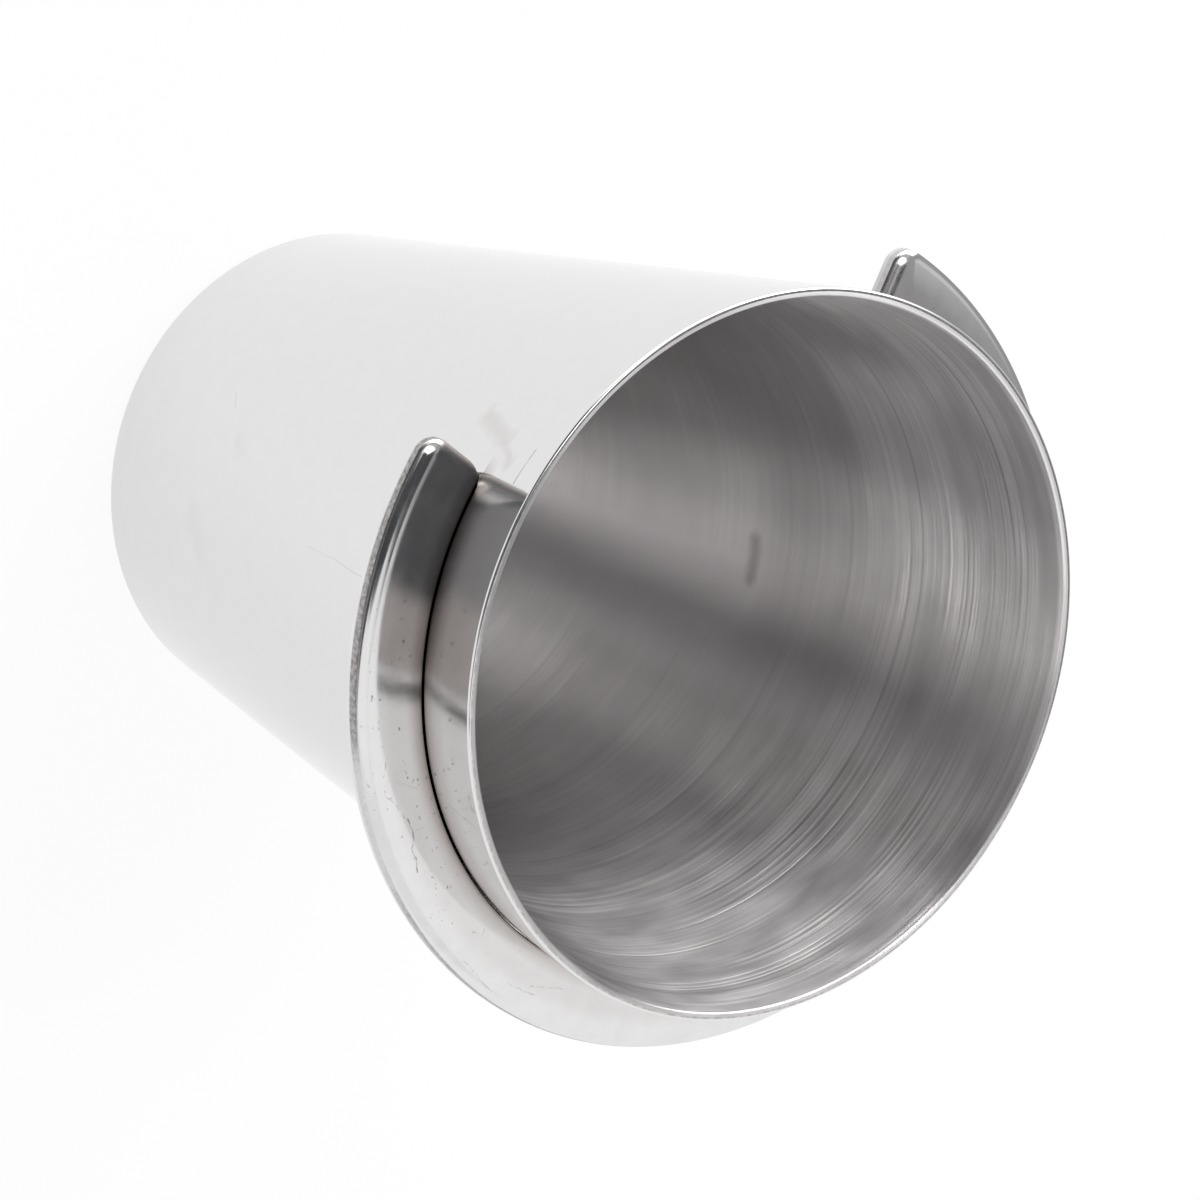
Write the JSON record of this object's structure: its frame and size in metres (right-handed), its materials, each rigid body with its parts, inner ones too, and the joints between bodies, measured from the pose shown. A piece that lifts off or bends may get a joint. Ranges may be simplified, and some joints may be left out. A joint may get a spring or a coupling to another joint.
{
  "type": "deep drawn metal cup",
  "caption": "Tapered drawn steel cup, open at its wide end, with a C-shaped collar brazed round it below the mouth that seats it in a round holder.",
  "frame": {"origin": "centre of the flat closed end, on its outside face", "axes": "+Z along the cup's axis from the closed end to the mouth; +X through the middle of the opening in the collar"},
  "size_m": [0.0627, 0.0674, 0.0672],
  "materials": {
    "cup_steel": "polished outside, finely turned inside",
    "collar_steel": "polished, lightly scratched"
  },
  "bodies": {
    "root": {"drawn_cup": "cup_steel", "split_collar": "collar_steel"}
  },
  "joints": []
}
